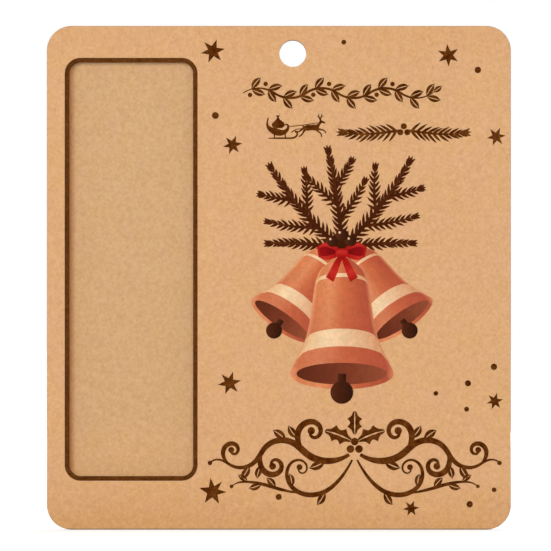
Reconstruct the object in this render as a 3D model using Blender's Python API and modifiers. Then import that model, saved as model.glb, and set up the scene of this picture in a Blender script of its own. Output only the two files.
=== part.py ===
"""Money holder ornament: two laser-cut fibreboard panels bonded face to face.

The front panel has a tall window with a stepped border. The back panel closes the window from behind,
so the two make a shallow pocket that holds a folded banknote. The ornament hangs by the hole near its
top edge. Units are metres and +Z is up. The front faces -Y, and the origin is the centre of the hanging
hole, midway through the thickness.
"""
import math

import bmesh
import bpy

# Banknote that the pocket holds, folded once across and in three lengthwise
NOTE_LENGTH = 0.1560
NOTE_WIDTH = 0.0663
CROSS_FOLD_COUNT = 2
LONG_FOLD_COUNT = 3
NOTE_END_CLEARANCE = 0.00275
NOTE_SIDE_CLEARANCE = 0.00145

# Window in the front panel, which is the pocket's mouth
WINDOW_WIDTH = NOTE_WIDTH / LONG_FOLD_COUNT + 2 * NOTE_SIDE_CLEARANCE
WINDOW_HEIGHT = NOTE_LENGTH / CROSS_FOLD_COUNT + 2 * NOTE_END_CLEARANCE
WINDOW_CORNER_RADIUS = 0.0023

# Boards, both cut to one outline: margins left, above and below the window, and the field on its right
LEFT_MARGIN = 0.0045
TOP_MARGIN = 0.00735
BOTTOM_MARGIN = 0.01075
FIELD_WIDTH = 0.0641
BOARD_CORNER_RADIUS = 0.0050
FRONT_THICKNESS = 0.0030
BACK_THICKNESS = 0.0030
EDGE_BREAK = 0.0002

# Hanging hole, drilled through the whole stack: its place in the field, and the material left above it
HOLE_DIAMETER = 0.0054
HOLE_INTO_FIELD = 0.0201
HOLE_TOP_WEB = 0.00285

# Border, a shallow engraved step round the window
BORDER_WIDTH = 0.0009
BORDER_DEPTH = 0.0005

# Adhesive film between the boards, cut back from every edge so that none squeezes out
FILM_THICKNESS = 0.0002
FILM_SETBACK = 0.0010

# Clearance between stacked faces, and how far a cutter runs past what it cuts
SEAT_GAP = 0.0003
CUT_OVERRUN = 0.0010

# Facets
CORNER_STEPS = 8
HOLE_STEPS = 48
EDGE_BREAK_STEPS = 2
SMOOTH_ANGLE = math.radians(30)
WELD_DISTANCE = 0.000001

# The stack is modelled lying flat with its front up, and this turn stands it upright
STANDING_TURN = (math.radians(90), 0, 0)

# Edges of the outlines, seen from the front and measured from the hanging hole
WINDOW_RIGHT = -HOLE_INTO_FIELD
WINDOW_LEFT = WINDOW_RIGHT - WINDOW_WIDTH
BOARD_LEFT = WINDOW_LEFT - LEFT_MARGIN
BOARD_RIGHT = WINDOW_RIGHT + FIELD_WIDTH
BOARD_TOP = HOLE_DIAMETER / 2 + HOLE_TOP_WEB
WINDOW_TOP = BOARD_TOP - TOP_MARGIN
WINDOW_BOTTOM = WINDOW_TOP - WINDOW_HEIGHT
BOARD_BOTTOM = WINDOW_BOTTOM - BOTTOM_MARGIN

# Heights in the flat stack, from the rear face up, with its middle at zero
STACK_HEIGHT = BACK_THICKNESS + SEAT_GAP + FILM_THICKNESS + SEAT_GAP + FRONT_THICKNESS
REAR_FACE = -STACK_HEIGHT / 2
POCKET_FLOOR = REAR_FACE + BACK_THICKNESS
FILM_REAR = POCKET_FLOOR + SEAT_GAP
FRONT_PANEL_REAR = FILM_REAR + FILM_THICKNESS + SEAT_GAP
FRONT_FACE = FRONT_PANEL_REAR + FRONT_THICKNESS

# Colours, linear
FIBREBOARD_COLOUR = (0.730, 0.413, 0.202, 1.0)
FIBREBOARD_REAR_COLOUR = (0.665, 0.392, 0.195, 1.0)
FILM_COLOUR = (0.305, 0.150, 0.054, 1.0)
FIBREBOARD_ROUGHNESS = 0.85
FILM_ROUGHNESS = 0.35


def clear_scene():
    for item in list(bpy.data.objects):
        bpy.data.objects.remove(item, do_unlink=True)


def new_collection(name):
    collection = bpy.data.collections.new(name)
    bpy.context.scene.collection.children.link(collection)
    return collection


def plain_material(name, colour, roughness):
    material = bpy.data.materials.new(name)
    material.use_nodes = True
    shader = material.node_tree.nodes["Principled BSDF"]
    shader.inputs["Base Color"].default_value = colour
    shader.inputs["Roughness"].default_value = roughness
    shader.inputs["Metallic"].default_value = 0
    material.diffuse_color = colour
    return material


def rounded_outline(left, bottom, right, top, radius):
    """Points of a rounded rectangle, anticlockwise from its lower right corner."""
    centres = (
        (right - radius, bottom + radius),
        (right - radius, top - radius),
        (left + radius, top - radius),
        (left + radius, bottom + radius),
    )
    quarter = math.pi / 2
    points = []
    for corner, (x, y) in enumerate(centres):
        for step in range(CORNER_STEPS + 1):
            angle = (corner - 1 + step / CORNER_STEPS) * quarter
            points.append((x + radius * math.cos(angle), y + radius * math.sin(angle)))
    return points


def round_outline(radius):
    """Points of a circle round the hanging hole's axis."""
    angles = [math.tau * step / HOLE_STEPS for step in range(HOLE_STEPS)]
    return [(radius * math.cos(angle), radius * math.sin(angle)) for angle in angles]


def board_outline(setback=0):
    return rounded_outline(
        BOARD_LEFT + setback,
        BOARD_BOTTOM + setback,
        BOARD_RIGHT - setback,
        BOARD_TOP - setback,
        BOARD_CORNER_RADIUS - setback,
    )


def window_outline(margin=0):
    return rounded_outline(
        WINDOW_LEFT - margin,
        WINDOW_BOTTOM - margin,
        WINDOW_RIGHT + margin,
        WINDOW_TOP + margin,
        WINDOW_CORNER_RADIUS + margin,
    )


def plate(name, outlines, thickness, collection):
    """A flat plate cut to closed outlines, with its middle plane at zero; outlines inside the first are holes."""
    curve = bpy.data.curves.new(name, "CURVE")
    curve.dimensions = "2D"
    curve.fill_mode = "BOTH"
    curve.extrude = thickness / 2
    for outline in outlines:
        spline = curve.splines.new("POLY")
        spline.points.add(len(outline) - 1)
        for point, (x, y) in zip(spline.points, outline):
            point.co = (x, y, 0, 1)
        spline.use_cyclic_u = True
    drawing = bpy.data.objects.new(name + "_drawing", curve)
    collection.objects.link(drawing)
    bpy.context.view_layer.update()

    depsgraph = bpy.context.evaluated_depsgraph_get()
    mesh = bpy.data.meshes.new_from_object(drawing.evaluated_get(depsgraph))
    mesh.name = name
    weld_caps(mesh)
    body = bpy.data.objects.new(name, mesh)
    body.matrix_world = drawing.matrix_world
    collection.objects.link(body)
    bpy.data.objects.remove(drawing, do_unlink=True)
    bpy.data.curves.remove(curve)
    return body


def weld_caps(mesh):
    shape = bmesh.new()
    shape.from_mesh(mesh)
    bmesh.ops.remove_doubles(shape, verts=shape.verts, dist=WELD_DISTANCE)
    bmesh.ops.recalc_face_normals(shape, faces=shape.faces)
    shape.to_mesh(mesh)
    shape.free()


def set_in_stack(body, rear, thickness, stand):
    """Rests a plate in the stack with its rear face at the height given."""
    body.parent = stand
    body.location = (0, 0, rear + thickness / 2)


def finish(body, material):
    body.data.materials.clear()
    body.data.materials.append(material)
    body.data.shade_smooth()
    body.data.set_sharp_from_angle(angle=SMOOTH_ANGLE)


def break_edges(body):
    """The light sanding of a board's cut edge."""
    bevel = body.modifiers.new("edge_break", "BEVEL")
    bevel.width = EDGE_BREAK
    bevel.segments = EDGE_BREAK_STEPS
    bevel.limit_method = "ANGLE"
    bevel.angle_limit = SMOOTH_ANGLE


def cut(body, cutter):
    boolean = body.modifiers.new(cutter.name, "BOOLEAN")
    boolean.operation = "DIFFERENCE"
    boolean.solver = "EXACT"
    boolean.object = cutter


def as_cutter(body):
    body.hide_render = True
    body.display_type = "WIRE"
    return body


def hole_drill(collection, stand):
    """The drill for the hanging hole, long enough to pass through both boards."""
    length = STACK_HEIGHT + 2 * CUT_OVERRUN
    bpy.ops.mesh.primitive_cylinder_add(vertices=HOLE_STEPS, radius=HOLE_DIAMETER / 2, depth=length)
    drill = bpy.context.object
    drill.name = "hole_drill"
    for owner in drill.users_collection:
        owner.objects.unlink(drill)
    collection.objects.link(drill)
    drill.parent = stand
    return as_cutter(drill)


def window_cutter(collection, stand):
    """The shape cut right through the front panel."""
    depth = FRONT_THICKNESS + 2 * CUT_OVERRUN
    cutter = plate("window_cutter", [window_outline()], depth, collection)
    set_in_stack(cutter, FRONT_PANEL_REAR - CUT_OVERRUN, depth, stand)
    return as_cutter(cutter)


def border_cutter(collection, stand):
    """The shallow step engraved round the window from the front."""
    depth = BORDER_DEPTH + CUT_OVERRUN
    cutter = plate("border_cutter", [window_outline(BORDER_WIDTH)], depth, collection)
    set_in_stack(cutter, FRONT_FACE - BORDER_DEPTH, depth, stand)
    return as_cutter(cutter)


def front_panel(collection, stand, material, drill, window, border):
    panel = plate("front_panel", [board_outline()], FRONT_THICKNESS, collection)
    set_in_stack(panel, FRONT_PANEL_REAR, FRONT_THICKNESS, stand)
    finish(panel, material)
    break_edges(panel)
    cut(panel, window)
    cut(panel, border)
    cut(panel, drill)
    return panel


def back_panel(collection, stand, material, drill):
    panel = plate("back_panel", [board_outline()], BACK_THICKNESS, collection)
    set_in_stack(panel, REAR_FACE, BACK_THICKNESS, stand)
    finish(panel, material)
    break_edges(panel)
    cut(panel, drill)
    return panel


def bond_sheet(collection, stand, material):
    """The adhesive film, a die-cut sheet that follows the boards at a setback from every edge."""
    outlines = [
        board_outline(FILM_SETBACK),
        window_outline(FILM_SETBACK),
        round_outline(HOLE_DIAMETER / 2 + FILM_SETBACK),
    ]
    sheet = plate("bond_sheet", outlines, FILM_THICKNESS, collection)
    set_in_stack(sheet, FILM_REAR, FILM_THICKNESS, stand)
    finish(sheet, material)
    return sheet


def main():
    clear_scene()
    parts = new_collection("money_holder_ornament")
    cutters = new_collection("cutters")
    stand = bpy.data.objects.new("hang_point", None)
    parts.objects.link(stand)
    stand.rotation_euler = STANDING_TURN

    fibreboard = plain_material("fibreboard", FIBREBOARD_COLOUR, FIBREBOARD_ROUGHNESS)
    rear_fibreboard = plain_material("rear_fibreboard", FIBREBOARD_REAR_COLOUR, FIBREBOARD_ROUGHNESS)
    adhesive_film = plain_material("adhesive_film", FILM_COLOUR, FILM_ROUGHNESS)

    drill = hole_drill(cutters, stand)
    window = window_cutter(cutters, stand)
    border = border_cutter(cutters, stand)
    back_panel(parts, stand, rear_fibreboard, drill)
    bond_sheet(parts, stand, adhesive_film)
    front_panel(parts, stand, fibreboard, drill, window, border)


main()
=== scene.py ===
"""Money holder ornament, dressed: two bonded laser-cut fibreboards with an engraved and printed face.

Shapes are drawn in millimetres and lie flat, as a board lies on the laser's bed: x runs right, y runs up
the face and z comes out of it, all from the middle of the hanging hole. Each finished piece is stood up in
metres.
"""
import math

import bmesh
import bpy
from mathutils import Matrix, Vector


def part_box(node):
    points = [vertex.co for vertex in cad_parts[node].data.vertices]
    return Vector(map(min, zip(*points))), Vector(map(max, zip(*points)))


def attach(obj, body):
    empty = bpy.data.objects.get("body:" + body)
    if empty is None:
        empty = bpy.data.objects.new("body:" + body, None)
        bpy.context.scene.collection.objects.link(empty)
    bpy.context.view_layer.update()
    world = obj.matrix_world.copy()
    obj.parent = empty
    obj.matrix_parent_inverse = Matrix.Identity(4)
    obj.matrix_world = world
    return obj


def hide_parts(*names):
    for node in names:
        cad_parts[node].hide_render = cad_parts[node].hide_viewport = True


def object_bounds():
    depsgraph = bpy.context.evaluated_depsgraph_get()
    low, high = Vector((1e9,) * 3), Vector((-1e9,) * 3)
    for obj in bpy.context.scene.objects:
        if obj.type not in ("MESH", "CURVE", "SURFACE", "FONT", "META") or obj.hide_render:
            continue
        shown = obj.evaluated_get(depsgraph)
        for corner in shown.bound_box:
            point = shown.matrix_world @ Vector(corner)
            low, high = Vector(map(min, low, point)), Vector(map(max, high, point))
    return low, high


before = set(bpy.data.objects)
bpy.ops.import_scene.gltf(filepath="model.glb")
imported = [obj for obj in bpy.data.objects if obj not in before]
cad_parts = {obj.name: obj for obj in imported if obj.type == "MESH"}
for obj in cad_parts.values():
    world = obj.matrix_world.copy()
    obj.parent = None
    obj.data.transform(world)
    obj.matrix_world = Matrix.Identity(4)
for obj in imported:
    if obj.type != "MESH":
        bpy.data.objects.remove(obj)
CAD_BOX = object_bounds()

MILLIMETRE = 0.001
STAND_UP = Matrix.Rotation(math.radians(90), 4, "X") @ Matrix.Scale(MILLIMETRE, 4)

# Boards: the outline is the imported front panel's, and both boards come up to the film between them
panel_low, panel_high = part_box("front_panel")
film_low, film_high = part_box("bond_sheet")
back_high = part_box("back_panel")[1]
BOARD = tuple(side / MILLIMETRE for side in (panel_low[0], panel_low[2], panel_high[0], panel_high[2]))
BOARD_RADIUS = 5.0
EDGE_EASE = 0.2
EDGE_EASE_STEPS = 3
CUT_EDGE_SLOPE = 0.4
INK_ROOM = 0.12
FACE = -panel_low[1] / MILLIMETRE - INK_ROOM
FILM_FRONT = -film_low[1] / MILLIMETRE
FILM_REAR = -film_high[1] / MILLIMETRE
BACK = -back_high[1] / MILLIMETRE
FILM_SETBACK = 1.0

# Cuts: the window's left, bottom, right and top, its border and the hanging hole, how deep the laser marks
# the face, and how far a cutter runs past what it cuts
WINDOW = (-45.1, -85.3, -20.1, -1.8)
WINDOW_RADIUS = 2.3
BORDER_WIDTH = 0.9
BORDER_DEPTH = 0.5
HOLE_RADIUS = 2.7
ENGRAVING_DEPTH = 0.35
CUT_OVERRUN = 1.0
CORNER_STEPS = 24
HOLE_STEPS = 96
RIM_ANGLE = math.radians(60)
SHARP_ANGLE = math.radians(14)

# Pen: the step between points of a line, the least width, the height of one coat of ink, and the share of a
# stroke over which the arch of its rows grows. Engraved strokes take turns at a few depths a hair apart, so
# that no two that cross share a plane.
PEN_STEP = 0.22
FINEST_STROKE = 0.05
INK_COAT = 0.003
ARCH_GROWTH_SHARE = 0.2
DEPTH_STEP = 0.004
DEPTH_COUNT = 11

# Stars, dots and leaves: forms are shares of the width, from the root to the tip
STAR_VALLEY_SHARE = 0.42
DOT_STEPS = 32
SMALL_DOT_STEPS = 20
LEAF_FORM_SHARES = (0, 0.72, 1, 0.8, 0)
LEAF_VEIN_SHARE = 0.12
LEAF_ROWS = 10
HOLLY_VEIN_SHARE = 0.1
HOLLY_FULLNESS = 0.7
HOLLOW_COUNT = 3
HOLLOW_DEPTH_SHARE = 0.45
HOLLOW_ROWS = 8

# Fir twigs: angles in degrees, and bends in degrees a millimetre. Needles spread less towards the tip, and
# their lengths and spreads waver by a sine, which moves on by so many radians from one to the next.
STEM_FORM_SHARES = (1, 0.75, 0.4)
NEEDLE_FORM_SHARES = (0.8, 1, 0.8, 0.2)
NEEDLE_TAPER_SHARE = 0.45
NEEDLE_SPREAD = 54
NEEDLE_LEAN = 24
NEEDLE_BENDS = (7, 3)
LENGTH_WAVER_SHARE = 0.1
LENGTH_WAVER_RATE = 9.1
SPREAD_WAVER = 5
SPREAD_WAVER_RATE = 7.3
END_NEEDLE_FORM_SHARES = (0.8, 1, 0.2)
END_NEEDLE_SHARE = 0.6
END_NEEDLE_TURNS = (-27, 0, 27)

# Camera: square on to the face, far off, as for a product picture; its sensor alone is in millimetres
CAMERA_DISTANCE = 2.5
CAMERA_X = -0.00348
CAMERA_Z = -0.0448
FRAME_WIDTH = 0.11114
SENSOR_WIDTH = 36
CLIP_START = 0.1
CLIP_END = 20


# Drawing tools
class Drawing:
    """Flat strokes and dots at their own levels, until they are closed into solids."""

    def __init__(self, level, step=0):
        self.shape = bmesh.new()
        self.across = self.shape.verts.layers.float.new("across")
        self.along = self.shape.verts.layers.float.new("along")
        self.level = level
        self.step = step
        self.count = 0

    def next_level(self):
        """Level of the next stroke: the drawing's own, or a few steps above it by turns."""
        self.count += 1
        return self.level + self.count % DEPTH_COUNT * self.step

    def close(self, level):
        """Gives every stroke and dot a second side at another level, and walls between.

        Where strokes take turns at several levels, the second side keeps their steps.
        """
        pulled = bmesh.ops.extrude_face_region(self.shape, geom=self.shape.faces[:])["geom"]
        for point in pulled:
            if isinstance(point, bmesh.types.BMVert):
                point.co.z = level + (point.co.z - self.level if self.step else 0)
        bmesh.ops.recalc_face_normals(self.shape, faces=self.shape.faces[:])


def flow(x, y, heading, *spans):
    """A pen line from a point, as a list of points.

    Each span is a length, and the bend that it starts and ends with in degrees a millimetre.
    """
    line = [(x, y)]
    angle = math.radians(heading)
    for length, first_bend, last_bend in spans:
        steps = max(2, round(length / PEN_STEP))
        stride = length / steps
        for step in range(steps):
            bend = first_bend + (last_bend - first_bend) * (step + 0.5) / steps
            angle += math.radians(bend) * stride
            x += math.cos(angle) * stride
            y += math.sin(angle) * stride
            line.append((x, y))
    return line


def place(line, share):
    """The point at a share of a line, and the direction to its left there."""
    last = len(line) - 1
    spot = min(max(share, 0), 1) * last
    number = min(int(spot), last - 1)
    part = spot - number
    here, ahead = Vector(line[number]), Vector(line[number + 1])
    before, after = Vector(line[max(number - 1, 0)]), Vector(line[min(number + 2, last)])
    direction = (ahead - before).lerp(after - here, part).normalized()
    return here.lerp(ahead, part), Vector((-direction.y, direction.x))


def spring(line, share, turn=0):
    """Start of a stroke that leaves a line at a share of its length: x, y and heading."""
    spot, left = place(line, share)
    return spot.x, spot.y, math.degrees(math.atan2(-left.x, left.y)) + turn


def swell(*stops):
    """A width that passes smoothly through evenly spaced stops."""

    def width(share):
        spot = min(max(share, 0), 1) * (len(stops) - 1)
        number = min(int(spot), len(stops) - 2)
        part = spot - number
        a, b, c, d = (stops[min(max(number + step, 0), len(stops) - 1)] for step in (-1, 0, 1, 2))
        curve = c - a + part * (2 * a - 5 * b + 4 * c - d + part * (3 * (b - c) + d - a))
        return max(b + 0.5 * part * curve, FINEST_STROKE)

    return width


def form(width, shares):
    """A width that swells and tapers by shares of the one given."""
    return swell(*[share * width for share in shares])


def nib(drawing, line, width, rows=0, columns=1, lanes=(-1, 1), span=(0, 1), arch=0, crown=0):
    """A stroke: a grid laid along a line and spread to the width there.

    Lanes and span are the shares of the half width and of the line that it covers. Arch is how far its rows
    bend back, as a share of the half width, and crown how much higher its middle lies than its sides.
    """
    rows = rows or len(line) - 1
    level = drawing.next_level()
    grid = bmesh.ops.create_grid(drawing.shape, x_segments=rows, y_segments=columns, size=1)
    for point in grid["verts"]:
        along = span[0] + (span[1] - span[0]) * (point.co.x + 1) / 2
        lane = lanes[0] + (lanes[1] - lanes[0]) * (point.co.y + 1) / 2
        spot, left = place(line, along)
        reach = width(along) / 2
        ahead = Vector((left.y, -left.x))
        back = arch * reach * math.sqrt(max(1 - lane * lane, 0)) * min(along / ARCH_GROWTH_SHARE, 1)
        spot = spot + left * lane * reach - ahead * back
        point.co = (spot.x, spot.y, level + crown * (1 - abs(lane)))
        point[drawing.across], point[drawing.along] = lane, along


def dot(drawing, x, y, radius, squash=1, turn=0, segments=DOT_STEPS):
    """A filled circle, or an oval when it is squashed across its turn."""
    points = bmesh.ops.create_circle(drawing.shape, cap_ends=True, segments=segments, radius=radius)["verts"]
    for point in points:
        point[drawing.across], point[drawing.along] = point.co.x / radius, (point.co.y / radius + 1) / 2
    pose = Matrix.Translation((x, y, drawing.next_level())) @ Matrix.Rotation(math.radians(turn), 4, "Z")
    bmesh.ops.transform(drawing.shape, matrix=pose @ Matrix.Diagonal((1, squash, 1, 1)), verts=points)


def star(drawing, x, y, radius, rays):
    """A star with its rays at the angles given, and a valley half way to each next ray."""
    level = drawing.next_level()
    corners = 2 * len(rays)
    points = bmesh.ops.create_circle(drawing.shape, cap_ends=True, segments=corners, radius=radius)["verts"]
    for number, ray in enumerate(rays):
        next_ray = rays[number + 1] if number + 1 < len(rays) else rays[0] + 360
        tip, valley = points[2 * number], points[2 * number + 1]
        for point, angle, reach in ((tip, ray, 1), (valley, (ray + next_ray) / 2, STAR_VALLEY_SHARE)):
            turned = Matrix.Rotation(math.radians(angle), 2)
            point.co.xy = Vector((x, y)) + turned @ Vector((radius * reach, 0))
            point.co.z = level


def leaf(drawing, x, y, heading, length, width, bend=0):
    """A plain leaf in two halves, with its vein left standing between them."""
    spine = flow(x, y, heading, (length, bend, bend))
    for lanes in ((-1, -LEAF_VEIN_SHARE), (LEAF_VEIN_SHARE, 1)):
        nib(drawing, spine, form(width, LEAF_FORM_SHARES), rows=LEAF_ROWS, lanes=lanes)


def holly_leaf(drawing, x, y, heading, length, width, bend=0):
    """A spined leaf in two halves, whose edge runs in hollows from spine to spine."""
    spine = flow(x, y, heading, (length, bend, bend))

    def edge(share):
        hollow = 1 - HOLLOW_DEPTH_SHARE * abs(math.sin(HOLLOW_COUNT * math.pi * share))
        return max(width * abs(math.sin(math.pi * share)) ** HOLLY_FULLNESS * hollow, FINEST_STROKE)

    for lanes in ((-1, -HOLLY_VEIN_SHARE), (HOLLY_VEIN_SHARE, 1)):
        nib(drawing, spine, edge, rows=HOLLOW_ROWS * HOLLOW_COUNT, lanes=lanes)


def fir_twig(drawing, stem, needle, gap, width, stem_width):
    """A fir twig: a stem with paired needles that shorten and lean towards its tip, and a fan at the end."""
    nib(drawing, stem, form(stem_width, STEM_FORM_SHARES), columns=2, crown=2 * INK_COAT)
    count = round((len(stem) - 1) * PEN_STEP / gap)
    for number in range(count):
        share = (number + 0.5) / count
        waver = 1 - LENGTH_WAVER_SHARE + LENGTH_WAVER_SHARE * math.sin(LENGTH_WAVER_RATE * number)
        reach = needle * (1 - NEEDLE_TAPER_SHARE * share**3) * waver
        for side in (1, -1):
            sway = SPREAD_WAVER * math.sin(SPREAD_WAVER_RATE * number + 2 * side)
            root = spring(stem, share, side * (NEEDLE_SPREAD - NEEDLE_LEAN * share + sway))
            spike = flow(*root, (reach, *[-side * bend for bend in NEEDLE_BENDS]))
            nib(drawing, spike, form(width, NEEDLE_FORM_SHARES), rows=5, columns=2, crown=INK_COAT)
    for turn in END_NEEDLE_TURNS:
        spike = flow(*spring(stem, 1, turn), (END_NEEDLE_SHARE * needle, 0, 0))
        nib(drawing, spike, form(width, END_NEEDLE_FORM_SHARES), rows=4, columns=2, crown=INK_COAT)


def draw_strokes(drawing, strokes):
    """Draws strokes, each given by its start and heading, its widths and the spans of its line."""
    for start, widths, spans in strokes:
        nib(drawing, flow(*start, *spans), swell(*widths))


# Engraved ornament: of each star x, y, radius and the angles of its rays, and of each dot x, y and radius
STARS = (
    (-16.12, 0.46, 2.5, (11, 72, 133, 190, 249, 311)),
    (-12.14, -18.45, 2.0, (9, 69, 132, 191, 249, 309)),
    (31.38, -0.38, 2.3, (33, 96, 156, 213, 272, 328)),
    (41.04, -16.78, 1.95, (6, 66, 129, 189, 249, 309)),
    (-12.76, -66.48, 2.4, (12, 72, 132, 189, 249, 312)),
    (40.75, -70.16, 1.75, (12, 75, 135, 194, 249, 309)),
    (-16.15, -88.38, 2.8, (-2, 47, 99, 165, 235, 297)),
    (23.87, -91.78, 1.7, (6, 69, 129, 186, 243, 303)),
)
DOTS = (
    (10.30, 2.26, 0.5),
    (37.34, -3.34, 0.65),
    (-15.61, -12.52, 0.7),
    (40.58, -63.22, 0.65),
    (35.34, -66.54, 0.62),
    (28.87, -68.58, 0.47),
    (35.07, -71.76, 0.5),
    (-2.83, -89.46, 0.62),
    (40.63, -88.03, 0.48),
    (35.69, -90.95, 0.65),
)

# Garland: the start of its vine, the length and bends of the vine's spans, and the leaves and berries on it
VINE_START = (-10.0, -8.0, 36)
VINE_SPAN = 6.8
VINE_BENDS = (-10.4, 10.2, -10.2, 10.2, -10.2, 10.4)
VINE_WIDTHS = (0.2, 0.45, 0.5, 0.45, 0.5, 0.45, 0.2)
LEAF_PAIRS = 12
LEAF_PAIR_PLACE = 0.55
LEAF_TURN = 46
LEAF_LENGTH = 3.0
LEAF_WIDTH = 1.35
LEAF_BEND = 6
VINE_BERRY_RADIUS = 0.46
VINE_BERRY_OFFSET = 1.0
VINE_BERRY_LAG_SHARE = 0.018

# Scrolled ornament: the middle that it is mirrored about, and the ring of berries there
SCROLL_MIDDLE = 12.5
HEART_Y = -79.3
HEART_RING_RADIUS = 1.0
HEART_BERRY_RADIUS = 0.78


def stars_and_dots(drawing):
    for x, y, radius, rays in STARS:
        star(drawing, x, y, radius, rays)
    for x, y, radius in DOTS:
        dot(drawing, x, y, radius, segments=SMALL_DOT_STEPS)


def garland(drawing):
    """The leafy garland under the hanging hole, with berries at two leaf pairs in every four."""
    vine = flow(*VINE_START, *[(VINE_SPAN, bend, bend) for bend in VINE_BENDS])
    nib(drawing, vine, swell(*VINE_WIDTHS))
    for number in range(LEAF_PAIRS):
        share = (number + LEAF_PAIR_PLACE) / LEAF_PAIRS
        for side in (1, -1):
            leaf(drawing, *spring(vine, share, side * LEAF_TURN), LEAF_LENGTH, LEAF_WIDTH, -side * LEAF_BEND)
        if number % 4 < 2:
            spot, left = place(vine, share - VINE_BERRY_LAG_SHARE)
            spot += left * (VINE_BERRY_OFFSET if number % 2 else -VINE_BERRY_OFFSET)
            dot(drawing, spot.x, spot.y, VINE_BERRY_RADIUS, segments=16)
    leaf(drawing, *spring(vine, 1), length=2.2, width=1.1)


def twig_pair(drawing):
    """Two fir twigs that meet at three berries, beside the sleigh."""
    for start, side in (((23.4, -15.6, -6), 1), ((21.4, -15.6, 186), -1)):
        stem = flow(*start, (5.5, -side, 1.5 * side), (5.5, 2 * side, 2.5 * side))
        fir_twig(drawing, stem, needle=2.8, gap=1.12, width=0.56, stem_width=0.55)
    for x, y in ((21.7, -15.9), (23.1, -15.9), (22.4, -14.7)):
        dot(drawing, x, y, 0.62, segments=SMALL_DOT_STEPS)


def sleigh(drawing):
    """A sleigh with a sack in it."""
    strokes = (
        (
            (-4.9, -17.1, 0),
            (0.2, 0.34, 0.34, 0.34, 0.22),
            ((4.5, 0, 0), (1.5, 12, 66), (1.4, 78, 105), (0.6, 110, 120)),
        ),
        ((-3.7, -16.1, -90), (0.26, 0.26), ((0.9, 0, 0),)),
        ((-1.5, -16.1, -90), (0.26, 0.26), ((0.9, 0, 0),)),
        (
            (-4.95, -13.0, -108),
            (0.25, 0.4, 0.9, 1.35, 1.3, 0.9, 0.5, 0.3),
            ((1.2, 5, 22), (1.5, 45, 35), (1.9, 12, 12), (1.5, 30, 40), (0.9, 40, 60), (0.8, 120, 150)),
        ),
        ((-2.9, -15.1, 92), (1.5, 2.5, 2.6, 1.9, 0.9, 0.36), ((2.15, 0, 0),)),
        ((-2.98, -13.1, 94), (0.36, 0.4, 0.9), ((0.6, 0, 0),)),
        ((-0.75, -14.75, 5), (0.16, 0.16), ((5.8, 0.5, 1.5),)),
        ((0.5, -15.35, 10), (0.16, 0.16), ((2.4, -2, -2),)),
    )
    draw_strokes(drawing, strokes)


def leaping_deer(drawing):
    """The small deer in harness, in full stretch."""
    limbs = (
        ((2.3, -15.1, 8), (0.8, 1.2, 1.05, 1.2, 0.7), ((2.9, -3, -3),)),
        ((4.8, -14.9, 52), (0.9, 0.6, 0.5), ((1.5, 2, -2),)),
        ((5.4, -13.65, -14), (0.42, 0.56, 0.42, 0.26), ((1.25, -6, -6),)),
        ((5.6, -13.5, 126), (0.26, 0.24, 0.12), ((1.35, -26, -26),)),
        ((5.6, -13.5, 88), (0.26, 0.24, 0.12), ((1.35, -16, -16),)),
        ((5.25, -12.95, 128), (0.2, 0.1), ((0.5, 0, 0),)),
        ((5.75, -12.85, 30), (0.2, 0.1), ((0.5, 0, 0),)),
        ((4.9, -15.2, -14), (0.5, 0.34, 0.28, 0.24), ((1.2, 3, 3), (0.9, -70, -60))),
        ((4.6, -15.3, -40), (0.5, 0.34, 0.28, 0.24), ((1.2, 3, 3), (0.9, -75, -60))),
        ((2.6, -15.2, 230), (0.65, 0.38, 0.28, 0.22), ((1.1, 12, 12), (1.1, -42, -30))),
        ((2.4, -15.0, 206), (0.6, 0.38, 0.28, 0.22), ((1.1, 12, 12), (1.1, -42, -30))),
        ((2.3, -14.8, 150), (0.34, 0.16), ((0.5, 0, 0),)),
    )
    draw_strokes(drawing, limbs)


def tendril(drawing, start, widths, *spans, ball):
    """A stroke that ends in a ball; gives back its line."""
    line = flow(*start, *spans)
    nib(drawing, line, swell(*widths))
    dot(drawing, *line[-1], ball, segments=SMALL_DOT_STEPS)
    return line


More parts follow.
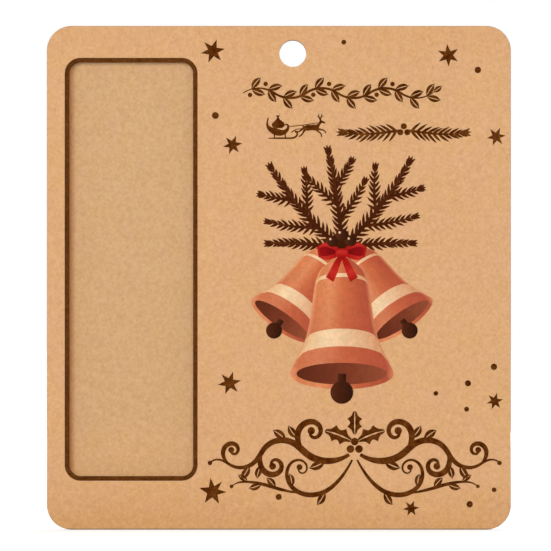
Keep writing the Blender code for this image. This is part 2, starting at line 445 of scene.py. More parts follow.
def half_scroll(drawing):
    """Right half of the scrolled ornament: a waving stem with a scroll curled into each of its hollows."""
    stem = tendril(
        drawing,
        (13.6, -80.9, -34),
        (0.7, 1.3, 1.4, 1.25, 1.1, 0.9, 0.6, 0.3),
        (9.6, 6.8, 8.8),
        (2.4, 4, -8),
        (7.6, -11, -13.4),
        (2.2, -4, 8),
        (6.0, 12.5, 15),
        (1.6, 4, -10),
        (2.9, -16, -34),
        ball=0.46,
    )
    first = tendril(
        drawing,
        spring(stem, 0.285),
        (0.4, 1.2, 1.2, 0.9, 0.55),
        (4.4, 9, 16),
        (4.6, 17, 24),
        (4.0, 27, 40),
        (2.6, 48, 80),
        ball=0.76,
    )
    second = tendril(
        drawing,
        spring(stem, 0.6),
        (0.4, 1.1, 1.15, 0.85, 0.5),
        (3.7, -12, -18),
        (4.1, -20, -28),
        (3.5, -32, -46),
        (2.1, -54, -90),
        ball=0.7,
    )
    tendril(
        drawing,
        spring(stem, 0.86),
        (0.3, 0.85, 0.95, 0.7, 0.45),
        (2.9, 14, 24),
        (3.2, 26, 36),
        (2.6, 40, 60),
        (1.7, 70, 105),
        ball=0.6,
    )
    low = tendril(
        drawing,
        (13.0, -82.0, -62),
        (0.4, 0.75, 1.0, 0.8, 0.5, 0.3),
        (7.6, 1, 6),
        (6.8, 8, 11),
        (6.2, 12, 18),
        (5.0, 22, 40),
        (3.0, 50, 90),
        ball=0.6,
    )
    swash = tendril(
        drawing,
        spring(low, 0.47, -15),
        (0.3, 0.6, 0.7, 0.5, 0.2),
        (6.2, 3, 1),
        (5.4, -1, -5),
        (3.0, -8, -20),
        ball=0.38,
    )
    for line, share, turn, length, width, bend in (
        (stem, 0.16, -44, 3.6, 1.7, 8),
        (stem, 0.445, 44, 3.4, 1.6, -8),
        (stem, 0.74, -46, 3.2, 1.5, 8),
        (first, 0.24, -44, 3.2, 1.5, 8),
        (second, 0.26, 44, 2.8, 1.35, -8),
        (low, 0.30, -46, 3.2, 1.5, 8),
        (low, 0.55, 44, 2.8, 1.35, -8),
        (swash, 0.36, 44, 2.8, 1.35, -8),
        (swash, 0.56, -44, 2.8, 1.35, 8),
        (swash, 0.76, 44, 2.4, 1.15, -8),
    ):
        leaf(drawing, *spring(line, share, turn), length, width, bend)
    holly_leaf(drawing, SCROLL_MIDDLE + 0.6, -78.2, 30, 5.9, 3.8, -3)


def mirror_drawing(drawing, middle):
    """Repeats everything drawn so far on the other side of an upright line."""
    everything = drawing.shape.verts[:] + drawing.shape.edges[:] + drawing.shape.faces[:]
    copies = bmesh.ops.duplicate(drawing.shape, geom=everything)["geom"]
    points = [item for item in copies if isinstance(item, bmesh.types.BMVert)]
    to_middle = Matrix.Translation((-middle, 0, 0))
    bmesh.ops.scale(drawing.shape, vec=(-1, 1, 1), space=to_middle, verts=points)


def scroll_heart(drawing):
    """The upright holly leaf and the three berries in the middle of the scrolled ornament."""
    holly_leaf(drawing, SCROLL_MIDDLE, -76.9, 90, 4.8, 3.4)
    for turn in (90, 210, 330):
        angle = math.radians(turn)
        x = SCROLL_MIDDLE + HEART_RING_RADIUS * math.cos(angle)
        y = HEART_Y + HEART_RING_RADIUS * math.sin(angle)
        dot(drawing, x, y, HEART_BERRY_RADIUS)


# Printed picture, which is three bells with a bow under a spray of fir. Spray: heading, length, bend and
# needle length of each branch, and of each side twig on a long branch where it leaves and how long it is, as
# shares of the branch
PICTURE_MIDDLE = 9.9
SPRAY_ROOT = (PICTURE_MIDDLE, -39.4)
BRANCHES = (
    (169, 14.5, 0.9, 2.4),
    (11, 14.0, -0.9, 2.4),
    (141, 21.5, -0.9, 2.6),
    (43, 22.0, 0.8, 2.6),
    (93, 19.6, 0.5, 2.6),
)
LONG_BRANCH = 19
SIDE_TWIG_SHARES = ((0.30, 0.46), (0.46, 0.40), (0.64, 0.30))
SIDE_TWIG_TURN = 47
SIDE_TWIG_BEND = 1.6
SIDE_NEEDLE_SHARE = 0.85

# Bells: x and y of the crown, heading, height and radius of each. The bands cover shares of the height. The
# tilt, the inside and the clapper are shares of the radius, but the inside's tilt is one of its own radius.
BELLS = (
    (7.5, -39.8, 235, 17.0, 7.4),
    (12.3, -39.8, -55, 17.0, 7.4),
    (PICTURE_MIDDLE, -41.2, -90, 23.4, 10.5),
)
BELL_FORM_SHARES = (0.16, 0.40, 0.50, 0.54, 0.57, 0.60, 0.64, 0.70, 0.79, 0.90, 1.0)
BELL_ROWS = 36
BELL_COLUMNS = 16
BAND_ROWS = 4
MOUTH_STEPS = 48
TILT_SHARE = 0.3
BAND_SHARES = ((0.705, 0.88), (0.20, 0.235))
BAND_INSET_SHARE = 0.985
INSIDE_SHARE = 0.87
INSIDE_TILT_SHARE = 0.24
CLAPPER_REACH_SHARE = 0.36
CLAPPER_STEM_SHARE = 0.16
CLAPPER_BALL_SHARE = 0.22

# Bow: its tails lean from straight down and its loops from straight up, in degrees, and a fold covers shares
# of its loop's line
DOWN = -90
UP = 90
TAIL_START = (PICTURE_MIDDLE, -40.6)
TAIL_LEAN = 34
TAIL_LENGTH = 5.6
TAIL_BENDS = (-7, 6)
TAIL_WIDTHS = (0.8, 1.3, 1.6, 1.8)
KNOT = (PICTURE_MIDDLE, -40.4)
KNOT_RADIUS = 1.15
KNOT_SQUASH_SHARE = 0.92
LOOP_LEAN = -74
LOOP_LENGTH = 4.9
LOOP_BENDS = (-4, -6)
LOOP_WIDTHS = (0.8, 2.3, 3.3, 3.4, 2.1)
FOLD_WIDTHS = (0.3, 0.7, 1.5, 2.0, 1.0)
FOLD_SHARES = (0.28, 0.92)

# Berries over the knot: x, y and radius of each, and those of its spark as shares of the radius
BERRIES = (
    (8.0, -37.9, 1.15),
    (11.7, -37.8, 1.15),
    (PICTURE_MIDDLE, -36.6, 1.25),
)
SPARK_X_SHARE = -0.35
SPARK_Y_SHARE = 0.38
SPARK_RADIUS_SHARE = 0.2
SPARK_STEPS = 12


def raise_inks(inks):
    """Lifts the pen by one coat, so that what is drawn next lies on what is there."""
    for ink in inks.values():
        ink.level += INK_COAT


def fir_spray(inks):
    """Fir branches that fan out behind the bow; the long ones bear side twigs."""
    ink = inks["needles"]
    for heading, length, bend, needle in BRANCHES:
        stem = flow(*SPRAY_ROOT, heading, (length, bend, bend))
        side = -1 if bend > 0 else 1
        for share, reach in SIDE_TWIG_SHARES if length > LONG_BRANCH else ():
            curl = -SIDE_TWIG_BEND * side
            twig = flow(*spring(stem, share, SIDE_TWIG_TURN * side), (reach * length, curl, curl))
            fir_twig(ink, twig, SIDE_NEEDLE_SHARE * needle, gap=1.08, width=0.56, stem_width=0.7)
            raise_inks(inks)
            side = -side
        fir_twig(ink, stem, needle, gap=1.16, width=0.62, stem_width=0.95)
        raise_inks(inks)


def bell(inks, x, y, heading, height, radius):
    """A bell that hangs from its crown along its heading, seen a little from below."""
    metal, cream, inside, dark = (inks[name] for name in ("bells", "cream", "inside", "dark"))
    axis = flow(x, y, heading, (height, 0, 0))
    mouth = axis[-1]
    width = form(2 * radius, BELL_FORM_SHARES)

    def band_width(share):
        return BAND_INSET_SHARE * width(share)

    nib(metal, axis, width, BELL_ROWS, BELL_COLUMNS, arch=TILT_SHARE)
    raise_inks(inks)
    dot(metal, *mouth, radius, TILT_SHARE, heading + 90, MOUTH_STEPS)
    raise_inks(inks)
    for span in BAND_SHARES:
        nib(cream, axis, band_width, BAND_ROWS, BELL_COLUMNS, span=span, arch=TILT_SHARE)
    dot(inside, *mouth, INSIDE_SHARE * radius, INSIDE_TILT_SHARE, heading + 90, MOUTH_STEPS)
    raise_inks(inks)
    clapper = flow(*mouth, heading, (CLAPPER_REACH_SHARE * radius, 0, 0))
    nib(dark, clapper, form(CLAPPER_STEM_SHARE * radius, (1, 1)))
    raise_inks(inks)
    dot(dark, *clapper[-1], CLAPPER_BALL_SHARE * radius)
    raise_inks(inks)


def bow(inks):
    """The ribbon bow on the middle bell's crown: two tails, two loops with their folds, and the knot."""
    ribbon, fold = inks["ribbon"], inks["fold"]
    for side in (1, -1):
        bends = [bend * side for bend in TAIL_BENDS]
        tail = flow(*TAIL_START, DOWN + TAIL_LEAN * side, (TAIL_LENGTH, *bends))
        nib(ribbon, tail, swell(*TAIL_WIDTHS), rows=16, columns=4)
        raise_inks(inks)
    for side in (1, -1):
        bends = [bend * side for bend in LOOP_BENDS]
        loop = flow(*KNOT, UP + LOOP_LEAN * side, (LOOP_LENGTH, *bends))
        nib(ribbon, loop, swell(*LOOP_WIDTHS), rows=18, columns=6)
        raise_inks(inks)
        nib(fold, loop, swell(*FOLD_WIDTHS), rows=18, columns=4, span=FOLD_SHARES)
    raise_inks(inks)
    dot(ribbon, *KNOT, KNOT_RADIUS, squash=KNOT_SQUASH_SHARE)
    raise_inks(inks)


def berries(inks):
    """Dark berries above the bow, each with a spark of light."""
    for x, y, radius in BERRIES:
        dot(inks["dark"], x, y, radius)
        raise_inks(inks)
        spark = (x + SPARK_X_SHARE * radius, y + SPARK_Y_SHARE * radius, SPARK_RADIUS_SHARE * radius)
        dot(inks["cream"], *spark, segments=SPARK_STEPS)


# Nodes and finishes: how low and how high soft noise mostly reaches, about its middle of 0.5
NOISE_LOW = 0.25
NOISE_HIGH = 0.75


def add_node(tree, kind, inputs=None, **settings):
    """Adds a node, whose inputs are values or outputs of other nodes."""
    node = tree.nodes.new("ShaderNode" + kind)
    for name, value in settings.items():
        setattr(node, name, value)
    for name, value in (inputs or {}).items():
        feed(tree, node.inputs[name], value)
    return node


def feed(tree, socket, value):
    if isinstance(value, bpy.types.NodeSocket):
        tree.links.new(value, socket)
    else:
        socket.default_value = value


def tone(red, green, blue):
    """A colour as a paint chart gives it, from 0 to 255, made linear."""
    shares = [value / 255 for value in (red, green, blue)]
    return (*[share / 12.92 if share <= 0.04045 else ((share + 0.055) / 1.055) ** 2.4 for share in shares], 1)


class Finish:
    """A material in the making; its patterns are laid out in millimetres on the object's own coordinates."""

    def __init__(self, name, roughness, specular):
        self.material = bpy.data.materials.new(name)
        self.material.use_nodes = True
        self.tree = self.material.node_tree
        self.shader = self.tree.nodes["Principled BSDF"]
        self.shader.inputs["Roughness"].default_value = roughness
        self.shader.inputs["Specular IOR Level"].default_value = specular
        self.position = self.add("TexCoord").outputs["Object"]

    def add(self, kind, inputs=None, **settings):
        return add_node(self.tree, kind, inputs, **settings)

    def axis(self, name, vector):
        return self.add("SeparateXYZ", {"Vector": vector}).outputs[name]

    def rise(self, axis, start, end):
        """A share that rises along an axis, from 0 at one place in millimetres to 1 at another."""
        return self.spread(self.axis(axis, self.position), start * MILLIMETRE, end * MILLIMETRE)

    def across(self):
        """Where a point lies across its stroke, from 0 to 1."""
        return self.spread(self.add("Attribute", attribute_name="across").outputs["Fac"], -1, 1)

    def along(self):
        """Where a point lies along its stroke, from 0 to 1."""
        return self.add("Attribute", attribute_name="along").outputs["Fac"]

    def noise(self, size, detail=2, stretch=(1, 1, 1), turn=0, roughness=0.5):
        """Soft noise with blotches of about the size given; turn is in the plane of the face."""
        scale = [share / (size * MILLIMETRE) for share in stretch]
        spin = {"Vector": self.position, "Rotation": (0, math.radians(turn), 0)}
        turned = self.add("Mapping", spin).outputs[0]
        laid = self.add("Mapping", {"Vector": turned, "Scale": scale}).outputs[0]
        settings = {"Vector": laid, "Scale": 1.0, "Detail": detail, "Roughness": roughness}
        return self.add("TexNoise", settings).outputs["Fac"]

    def spread(self, value, low, high, to_low=0.0, to_high=1.0):
        """Moves a value from one range to another, and holds it there."""
        limits = {"Value": value, "From Min": low, "From Max": high, "To Min": to_low, "To Max": to_high}
        return self.add("MapRange", limits).outputs[0]

    def reckon(self, kind, *values):
        return self.add("Math", dict(enumerate(values)), operation=kind).outputs[0]

    def mix(self, share, first, second, kind="MIX"):
        colours = {0: share, 6: first, 7: second}
        return self.add("Mix", colours, data_type="RGBA", blend_type=kind).outputs[2]

    def ramp(self, value, *stops):
        """A colour that passes through stops, each a place from 0 to 1 and its tone on the paint chart."""
        node = self.add("ValToRGB", {"Fac": value})
        marks = node.color_ramp.elements
        while len(marks) < len(stops):
            marks.new(0.5)
        for mark, (spot, chart) in zip(marks, stops):
            mark.position = spot
            mark.color = tone(*chart)
        return node.outputs[0]

    def shade(self, colour, value, reach, balance=(1, 1, 1)):
        """Darkens a colour where a noise is low and lightens it where it is high.

        Reach is the change at the noise's extremes, and balance its share for red, green and blue.
        """
        factors = []
        for share in balance:
            factors.append(self.spread(value, NOISE_LOW, NOISE_HIGH, 1 - reach * share, 1 + reach * share))
        factor = self.add("CombineXYZ", dict(zip("XYZ", factors))).outputs[0]
        return self.mix(1.0, colour, factor, "MULTIPLY")

    def colour(self, value):
        feed(self.tree, self.shader.inputs["Base Color"], value)

    def relief(self, height, depth):
        """Fine relief of the depth given in millimetres."""
        bump = self.add("Bump", {"Height": height, "Distance": depth * MILLIMETRE, "Strength": 1.0})
        feed(self.tree, self.shader.inputs["Normal"], bump.outputs[0])


# Fibreboard: the base, a yellower and a pinker cloud and the dark flecks of each side, how the grain's change
# is shared by red, green and blue, and the size, stretch and angles of its crossed fibres
FACE_TONES = ((222, 172, 124), (222, 173, 114), (222, 171, 132), (190, 134, 86))
INNER_TONES = ((215, 171, 124), (215, 172, 115), (215, 170, 132), (182, 130, 84))
REAR_TONES = ((208, 162, 117), (206, 162, 107), (206, 160, 123), (170, 120, 78))
GRAIN_BALANCE = (0.64, 1.08, 1.4)
FIBRE_SIZE = 0.46
FIBRE_STRETCH = (1, 1, 0.3)
FIBRE_ANGLES = (15, 75, 135)

# Where a side's colour turns: a factor for red, green and blue, and the spans that it grows over, each an
# axis and two places on it. The face is darker and browner towards its foot, a painted shade, but less so in
# its middle, has a painted shadow line along its lower edge and is a little duller at its top. The pocket's
# floor has painted light, lighter and warmer, at its foot, and a warm painted shade along its left side.
FACE_TONE_AND_SHADE_TURNS = (
    # painted shade: darker and browner towards the foot
    ((0.91, 0.87, 0.76), ("Z", -85, -96)),
    # less painted shade in the middle of the foot
    ((1.033, 1.05, 1.055), ("Z", -79, -87), ("X", -38, 0), ("X", 43.5, 33)),
    # painted shadow line along the lower edge
    ((0.42, 0.50, 0.68), ("Z", -95.72, -96.05)),
    ((0.99, 0.97, 0.95), ("Z", -4, 3)),
)
INNER_PAINTED_LIGHT_AND_SHADE = (
    # painted light: lighter and warmer at the pocket floor's foot
    ((1.08, 1.04, 0.97), ("Z", -72, -85)),
    # warm painted shade along the pocket floor's left side, by the wall
    ((1.05, 0.80, 0.64), ("X", -43.6, -45.1)),
)


def fibre_pattern(finish):
    """Short fibres that cross at several angles, as one value."""
    layers = [finish.noise(FIBRE_SIZE, stretch=FIBRE_STRETCH, turn=turn) for turn in FIBRE_ANGLES]
    crossed = finish.reckon("ADD", finish.reckon("ADD", layers[0], layers[1]), layers[2])
    return finish.spread(crossed, 1.1, 1.9, 0.1, 0.9)


def fibreboard(name, tones, turns=()):
    """Kraft-coloured fibreboard: soft clouds, crossed fibres and a few darker flecks."""
    finish = Finish(name, roughness=0.88, specular=0.12)
    base, yellow, pink, dark = (tone(*chart) for chart in tones)
    clouds = finish.spread(finish.noise(5, detail=5, roughness=0.68), 0.35, 0.65)
    colour = finish.mix(0.6, finish.mix(clouds, yellow, pink), base)
    colour = finish.shade(colour, finish.noise(9, turn=20), 0.01)
    colour = finish.shade(colour, finish.noise(1.3, detail=4, roughness=0.75), 0.06, GRAIN_BALANCE)
    fibres = fibre_pattern(finish)
    colour = finish.shade(colour, fibres, 0.072, GRAIN_BALANCE)
    flecks = finish.spread(finish.noise(0.5, detail=1, stretch=(1, 1, 0.5), turn=25), 0.7, 0.8, 0, 0.4)
    colour = finish.mix(flecks, colour, dark)
    # Colour turns by place; those of the face and the pocket's floor paint shade and light into the colour
    for factor, *spans in turns:
        share, *others = [finish.rise(*span) for span in spans]
        for other in others:
            share = finish.reckon("MULTIPLY", share, other)
        colour = finish.mix(share, colour, finish.mix(1.0, colour, (*factor, 1), "MULTIPLY"))
    finish.colour(colour)
    finish.relief(fibres, depth=0.02)
    return finish.material


def engraving(name, light, dark, wall):
    """Scorched floor of engraved marks, with darker walls and the laser's fine lines."""
    finish = Finish(name, roughness=0.95, specular=0.03)
    blotches = finish.spread(finish.noise(1.2, detail=3), 0.3, 0.7)
    colour = finish.mix(blotches, tone(*light), tone(*dark))
    colour = finish.shade(colour, finish.noise(0.5, detail=3), 0.34)
    outward = finish.axis("Y", finish.add("NewGeometry").outputs["Normal"])
    upright = finish.spread(finish.reckon("ABSOLUTE", outward), 0.4, 0.8, 1.0, 0.0)
    colour = finish.mix(upright, colour, tone(*wall))
    lines = finish.noise(0.14, detail=0, stretch=(0.05, 1, 1))
    finish.colour(finish.shade(colour, lines, 0.08))
    finish.relief(lines, depth=0.03)
    return finish.material


def scorched_edge():
    """Laser-cut edge: browner at the front, near black at the rear, with streaks along the beam."""
    finish = Finish("laser_cut_edge", roughness=0.85, specular=0.05)
    heat = finish.spread(finish.axis("Y", finish.position), CAD_BOX[0][1], CAD_BOX[1][1])
    colour = finish.ramp(heat, (0.0, (128, 80, 44)), (0.45, (88, 52, 27)), (1.0, (62, 36, 20)))
    streaks = finish.noise(0.3, stretch=(1, 0.06, 1))
    colour = finish.shade(colour, streaks, 0.3)
    finish.colour(finish.shade(colour, finish.noise(4), 0.18))
    finish.relief(streaks, depth=0.06)
    return finish.material


def amber_film():
    """The adhesive film, seen only at its edge."""
    finish = Finish("adhesive_film", roughness=0.45, specular=0.3)
    finish.colour(finish.shade(tone(150, 108, 66), finish.noise(0.8), 0.15))
    return finish.material


def printed(name, colour_of):
    """Ink soaked into the board: its colour breaks a little with the fibres under it."""
    finish = Finish(name, roughness=0.75, specular=0.03)
    colour = finish.shade(colour_of(finish), finish.noise(1.6, detail=4), 0.05)
    fibres = fibre_pattern(finish)
    finish.colour(finish.shade(colour, fibres, 0.06))
    finish.relief(fibres, depth=0.03)
    return finish.material


def needle_colour(finish):
    return finish.ramp(finish.along(), (0.0, (60, 24, 6)), (0.5, (76, 32, 9)), (1.0, (94, 45, 17)))


def bell_colour(finish):
    """Light from the left round the bell, and redder towards its mouth."""
    round_tone = finish.ramp(
        finish.across(),
        (0.0, (232, 158, 112)),
        (0.08, (216, 126, 80)),
        (0.3, (226, 142, 96)),
        (0.52, (206, 108, 68)),
        (0.8, (186, 88, 58)),
        (0.93, (178, 82, 58)),
        (1.0, (214, 134, 96)),
    )
    low = finish.spread(finish.along(), 0.35, 0.95, 0, 0.35)
    return finish.mix(low, round_tone, tone(184, 86, 66))


def cream_colour(finish):
    stops = ((0.0, (232, 180, 130)), (0.3, (248, 214, 170)), (1.0, (214, 150, 106)))
    return finish.ramp(finish.across(), *stops)


def inside_colour(finish):
    return finish.ramp(finish.across(), (0.0, (92, 40, 22)), (0.6, (126, 60, 38)), (1.0, (150, 78, 52)))


def dark_colour(finish):
    return finish.ramp(finish.across(), (0.0, (84, 42, 22)), (0.35, (72, 32, 14)), (1.0, (44, 20, 10)))


def ribbon_colour(finish):
    stops = ((0.0, (140, 14, 14)), (0.35, (178, 26, 22)), (0.7, (198, 46, 36)), (1.0, (168, 24, 22)))
    return finish.ramp(finish.along(), *stops)


def fold_colour(finish):
    return finish.ramp(finish.along(), (0.2, (112, 8, 10)), (0.9, (148, 16, 18)))


INK_COLOURS = {
    "needles": needle_colour,
    "bells": bell_colour,
    "cream": cream_colour,
    "inside": inside_colour,
    "dark": dark_colour,
    "ribbon": ribbon_colour,
    "fold": fold_colour,
}


# Making pieces
def make_piece(name, shape, materials):
    """Stands a drawn shape up in metres and makes it an object."""
    bmesh.ops.transform(shape, matrix=STAND_UP, verts=shape.verts[:])
    mesh = bpy.data.meshes.new(name)
    shape.to_mesh(mesh)
    shape.free()
    for material in materials:
        mesh.materials.append(material)
    piece = bpy.data.objects.new(name, mesh)
    bpy.context.scene.collection.objects.link(piece)
    return piece


def shade_piece(piece):
    piece.data.shade_smooth()
    piece.data.set_sharp_from_angle(angle=SHARP_ANGLE)


def grow(sides, margin):
    """A wider outline, or a narrower one where the margin is below zero."""
    left, bottom, right, top = sides
    return left - margin, bottom - margin, right + margin, top + margin


def slab(sides, radius, rear, front):
    """A block with rounded corners between two heights."""
    left, bottom, right, top = sides
    depth = front - rear
    shape = bmesh.new()
    points = bmesh.ops.create_cube(shape, size=1)["verts"]
    bmesh.ops.scale(shape, vec=(right - left, top - bottom, depth), verts=points)
    bmesh.ops.translate(shape, vec=((left + right) / 2, (bottom + top) / 2, (rear + front) / 2), verts=points)
    uprights = [edge for edge in shape.edges if abs(edge.verts[0].co.z - edge.verts[1].co.z) > depth / 2]
    round_off(shape, uprights, radius, CORNER_STEPS)
    return shape


def round_off(shape, edges, radius, steps):
    bmesh.ops.bevel(
        shape,
        geom=edges,
        offset=radius,
        offset_type="OFFSET",
        segments=steps,
        profile=0.5,
        affect="EDGES",
        material=-1,
    )


def board(name, rear, front, materials):
    """A board with its rims eased: its face, its cut edge and its rear take a material each."""
    shape = slab(BOARD, BOARD_RADIUS, rear, front)
    rims = [edge for edge in shape.edges if edge.calc_face_angle(0) > RIM_ANGLE]
    round_off(shape, rims, EDGE_EASE, EDGE_EASE_STEPS)
    for face in shape.faces:
        if abs(face.normal.z) < CUT_EDGE_SLOPE:
            face.material_index = 1
        elif face.normal.z < 0:
            face.material_index = 2
    return make_piece(name, shape, materials)


def window_cutter(name, margin, rear, front, material):
    """A block of the window's outline, wider by a margin, between two heights."""
    return make_piece(name, slab(grow(WINDOW, margin), WINDOW_RADIUS + margin, rear, front), [material])


def hole_cutter(radius, material):
    """A round bit through the whole stack, at the hanging hole."""
    shape = bmesh.new()
    bmesh.ops.create_cone(
        shape, cap_ends=True, segments=HOLE_STEPS, radius1=radius, radius2=radius, depth=4 * FACE
    )
    return make_piece("hole_cutter", shape, [material])


def engraving_cutter(material):
    """Everything that the laser engraves on the face beside the window, as one cutting tool."""
    drawing = Drawing(FACE - ENGRAVING_DEPTH, DEPTH_STEP)
    half_scroll(drawing)
    mirror_drawing(drawing, SCROLL_MIDDLE)
    scroll_heart(drawing)
    stars_and_dots(drawing)
    garland(drawing)
    twig_pair(drawing)
    sleigh(drawing)
    leaping_deer(drawing)
    drawing.close(FACE + CUT_OVERRUN)
    return make_piece("engraving_cutter", drawing.shape, [material])


def carve(body, cutters):
    """Cuts the cutters out of a body, whose new walls take the cutters' finish, and clears them away."""
    for cutter in cutters:
        cut = body.modifiers.new(cutter.name, "BOOLEAN")
        cut.operation = "DIFFERENCE"
        cut.solver = "EXACT"
        cut.use_self = True
        cut.material_mode = "TRANSFER"
        cut.object = cutter
    depsgraph = bpy.context.evaluated_depsgraph_get()
    mesh = bpy.data.meshes.new_from_object(body.evaluated_get(depsgraph))
    body.modifiers.clear()
    body.data = mesh
    for cutter in cutters:
        bpy.data.objects.remove(cutter, do_unlink=True)


def make_front_board(edge, inner):
    """The board with the window, its stepped border and the engraved marks."""
    face = fibreboard("fibreboard_face", FACE_TONES, FACE_TONE_AND_SHADE_TURNS)
    border_brown = engraving("engraved_border", (104, 60, 24), (90, 49, 15), (70, 36, 10))
    mark_brown = engraving("engraved_marks", (114, 63, 22), (73, 28, 0), (60, 25, 2))
    front_board = board("front_board", FILM_FRONT, FACE, [face, edge, inner])
    marks = engraving_cutter(mark_brown)
    border_floor = FACE - BORDER_DEPTH
    border = window_cutter("border_cutter", BORDER_WIDTH, border_floor, FACE + CUT_OVERRUN, border_brown)
    window = window_cutter("window_cutter", 0, FILM_FRONT - CUT_OVERRUN, FACE + 2 * CUT_OVERRUN, edge)
    carve(front_board, [marks, border, window, hole_cutter(HOLE_RADIUS, edge)])
    shade_piece(front_board)
    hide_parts("front_panel")
    return front_board


def make_back_board(edge, inner):
    """The board that closes the window from behind, and whose front is the pocket's floor."""
    rear = fibreboard("fibreboard_rear", REAR_TONES)
    back_board = board("back_board", BACK, FILM_REAR, [inner, edge, rear])
    carve(back_board, [hole_cutter(HOLE_RADIUS, edge)])
    shade_piece(back_board)
    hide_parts("back_panel")
    return back_board


def make_bond_film():
    """The film between the boards, set back from every edge."""
    amber = amber_film()
    sheet = slab(grow(BOARD, -FILM_SETBACK), BOARD_RADIUS - FILM_SETBACK, FILM_REAR, FILM_FRONT)
    bond_film = make_piece("bond_film", sheet, [amber])
    rear, front = FILM_REAR - CUT_OVERRUN, FILM_FRONT + CUT_OVERRUN
    window = window_cutter("window_cutter", FILM_SETBACK, rear, front, amber)
    carve(bond_film, [window, hole_cutter(HOLE_RADIUS + FILM_SETBACK, amber)])
    shade_piece(bond_film)
    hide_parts("bond_sheet")
    return bond_film


def make_boards():
    edge = scorched_edge()
    inner = fibreboard("fibreboard_inner", INNER_TONES, INNER_PAINTED_LIGHT_AND_SHADE)
    return [make_front_board(edge, inner), make_back_board(edge, inner), make_bond_film()]


def make_print():
    """The printed picture, one piece for each ink, sunk a hair into the face."""
    inks = {name: Drawing(FACE + INK_COAT) for name in INK_COLOURS}
    fir_spray(inks)
    for row in BELLS:
        bell(inks, *row)
    bow(inks)
    berries(inks)
    pieces = []
    for name, ink in inks.items():
        ink.close(FACE - INK_COAT)
        piece = make_piece("print_" + name, ink.shape, [printed("ink_" + name, INK_COLOURS[name])])
        pieces.append(piece)
    return pieces


# Studio: place, width, height and power of each lamp, all aimed at the middle of the board, the level of the
# even light round them, and the floor, which lies a hair under the board and glows to the eye, pure white
# further off
LAMPS = {
    "key_softbox": ((-0.22, -1.60, 0.067), 1.02, 0.70, 26.8),
    "left_softbox": ((-1.30, 0.35, 0.20), 0.80, 0.80, 5.0),
    "right_softbox": ((1.30, 0.35, 0.20), 0.80, 0.80, 5.0),
    "top_softbox": ((0.0, 0.30, 1.30), 0.80, 0.80, 4.0),
    "rear_softbox": ((0.40, 1.40, 0.30), 0.90, 0.90, 11.0),
}
LAMP_AIM = (-0.003, 0, -0.045)
WORLD_STRENGTH = 0.12
WHITE = (1, 1, 1, 1)
FLOOR_RADIUS = 6
FLOOR_STEPS = 96
FLOOR_DROP = 0.0001
FLOOR_COLOUR = (0.8, 0.8, 0.8, 1)
NEAR_GLOW = 0.62
NEAR_GLOW_REACH = 0.15
FAR_GLOW_START = 0.9


def studio_lights():
    for name, (spot, width, height, power) in LAMPS.items():
        light = bpy.data.lights.new(name, "AREA")
        light.shape = "RECTANGLE"
        light.size = width
        light.size_y = height
        light.energy = power
        lamp = bpy.data.objects.new(name, light)
        lamp.location = spot
        lamp.rotation_euler = (Vector(LAMP_AIM) - Vector(spot)).to_track_quat("-Z", "Y").to_euler()
        bpy.context.scene.collection.objects.link(lamp)


def seen_plainly(tree):
    """1 for a ray from the camera, a reflection or glass, and 0 for one that only carries light."""
    rays = add_node(tree, "LightPath").outputs
    seen = rays["Is Camera Ray"]
    for name in ("Is Glossy Ray", "Is Transmission Ray"):
        seen = add_node(tree, "Math", {0: seen, 1: rays[name]}, operation="MAXIMUM").outputs[0]
    return seen


def studio_world():
    """Even soft light, and plain white where the camera, a reflection or glass sees past the object."""
    world = bpy.data.worlds.new("studio")
    bpy.context.scene.world = world
    world.use_nodes = True
    tree = world.node_tree
    tree.nodes.clear()
    light = add_node(tree, "Background", {"Color": WHITE, "Strength": WORLD_STRENGTH}).outputs[0]
    white = add_node(tree, "Background", {"Color": WHITE, "Strength": 1.0}).outputs[0]
    mixed = add_node(tree, "MixShader", {0: seen_plainly(tree), 1: light, 2: white})
    add_node(tree, "OutputWorld", {"Surface": mixed.outputs[0]})


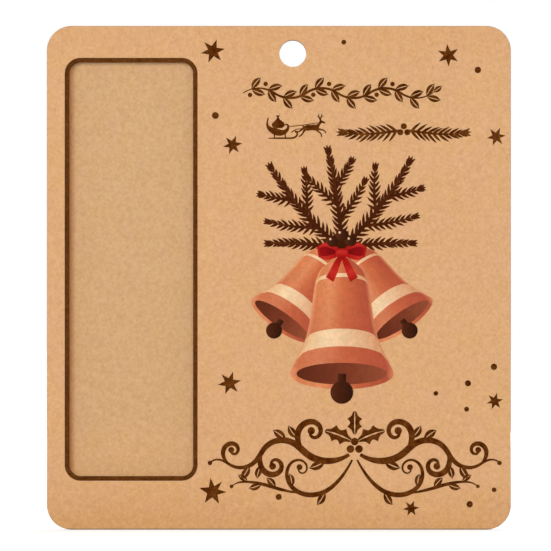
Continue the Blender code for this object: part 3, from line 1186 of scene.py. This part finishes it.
def pale_floor():
    """White to the eye, but for the shadow round the object, and clear when seen from below."""
    material = bpy.data.materials.new("pale_floor")
    material.use_nodes = True
    tree = material.node_tree
    shader = tree.nodes["Principled BSDF"]
    shader.inputs["Base Color"].default_value = FLOOR_COLOUR
    shader.inputs["Roughness"].default_value = 1.0
    shader.inputs["Specular IOR Level"].default_value = 0.0
    shader.inputs["Emission Color"].default_value = WHITE
    position = add_node(tree, "TexCoord").outputs["Object"]
    distance = add_node(tree, "VectorMath", {0: position}, operation="LENGTH").outputs["Value"]
    near = {"From Min": NEAR_GLOW_REACH, "To Min": NEAR_GLOW}
    far = {"From Max": FAR_GLOW_START, "To Max": 1.0}
    glow = add_node(tree, "MapRange", {"Value": distance, **near, **far}).outputs[0]
    strength = add_node(tree, "Math", {0: glow, 1: seen_plainly(tree)}, operation="MULTIPLY").outputs[0]
    feed(tree, shader.inputs["Emission Strength"], strength)
    below = add_node(tree, "NewGeometry").outputs["Backfacing"]
    clear = add_node(tree, "BsdfTransparent").outputs[0]
    sides = add_node(tree, "MixShader", {0: below, 1: shader.outputs[0], 2: clear})
    feed(tree, tree.nodes["Material Output"].inputs["Surface"], sides.outputs[0])
    return material


def studio_floor():
    """A floor that keeps the object's shadow."""
    shape = bmesh.new()
    bmesh.ops.create_circle(shape, cap_ends=True, segments=FLOOR_STEPS, radius=FLOOR_RADIUS)
    mesh = bpy.data.meshes.new("studio_floor")
    shape.to_mesh(mesh)
    shape.free()
    mesh.materials.append(pale_floor())
    floor = bpy.data.objects.new("studio_floor", mesh)
    floor.location = (0, 0, CAD_BOX[0][2] - FLOOR_DROP)
    bpy.context.scene.collection.objects.link(floor)


def studio_camera():
    camera = bpy.data.cameras.new("camera")
    camera.sensor_width = SENSOR_WIDTH
    camera.lens = SENSOR_WIDTH * CAMERA_DISTANCE / FRAME_WIDTH
    camera.clip_start = CLIP_START
    camera.clip_end = CLIP_END
    camera_object = bpy.data.objects.new("camera", camera)
    camera_object.location = (CAMERA_X, CAD_BOX[0][1] - CAMERA_DISTANCE, CAMERA_Z)
    camera_object.rotation_euler = (math.radians(90), 0, 0)
    bpy.context.scene.collection.objects.link(camera_object)
    bpy.context.scene.camera = camera_object


studio_camera()
studio_world()
studio_lights()
studio_floor()
for piece in make_boards() + make_print():
    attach(piece, "root")

bpy.context.scene.view_settings.view_transform = "Standard"
